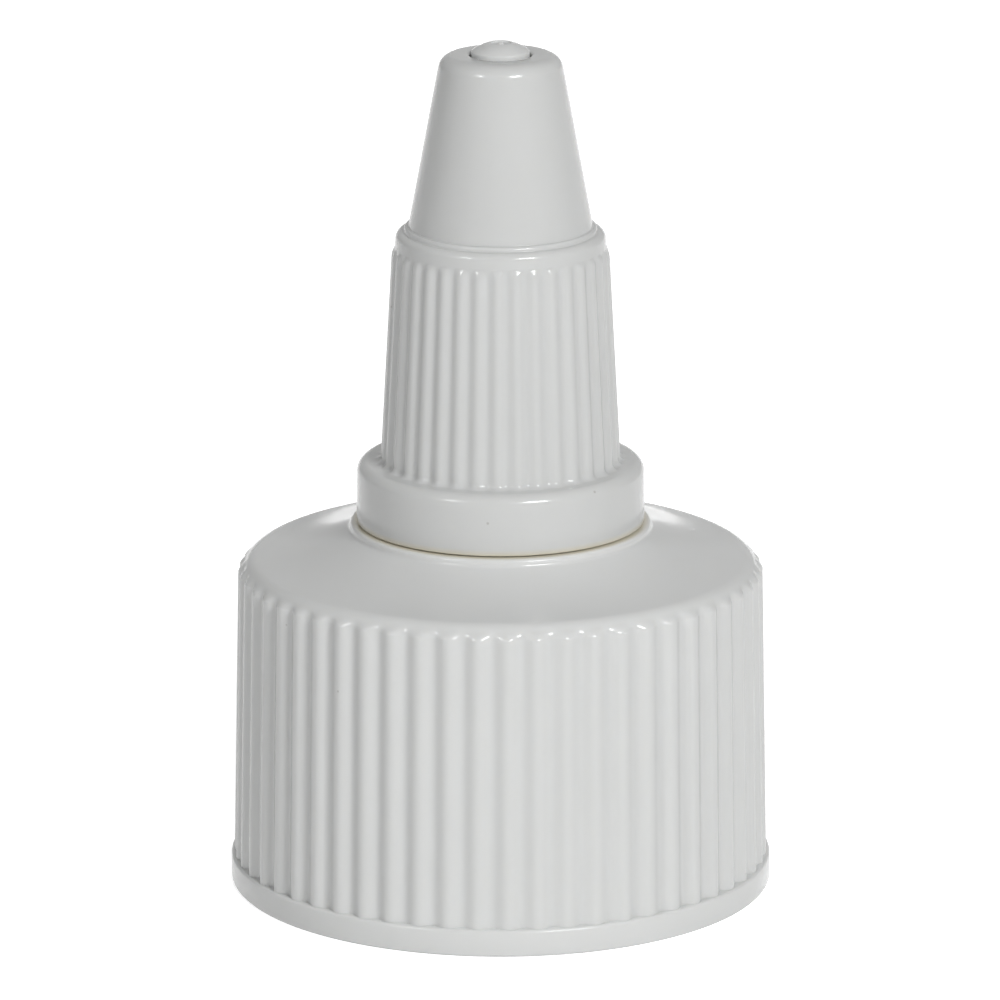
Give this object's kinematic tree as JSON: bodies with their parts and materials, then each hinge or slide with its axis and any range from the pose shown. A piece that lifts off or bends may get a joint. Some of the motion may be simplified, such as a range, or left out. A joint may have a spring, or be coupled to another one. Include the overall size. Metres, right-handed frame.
{
  "type": "twist dispensing cap",
  "caption": "Screw-on bottle closure with a ribbed skirt and a tall ribbed nozzle that rises off a central sealing pin to open its orifice.",
  "frame": {"origin": "on the axis, in the plane of the skirt's rim", "axes": "+Z along the axis, from the rim to the nozzle's tip"},
  "size_m": [0.0312, 0.0312, 0.0493],
  "materials": {
    "base_polypropylene": "semi-gloss moulded white",
    "nozzle_polypropylene": "semi-gloss moulded white"
  },
  "bodies": {
    "base": {"closure_base": "base_polypropylene"},
    "nozzle": {"twist_nozzle": "nozzle_polypropylene"}
  },
  "joints": [
    {"name": "nozzle_twist_rise", "type": "slide", "parent": "base", "child": "nozzle", "axis": [0, 0, 1], "range_m": [0, 0.003]}
  ]
}
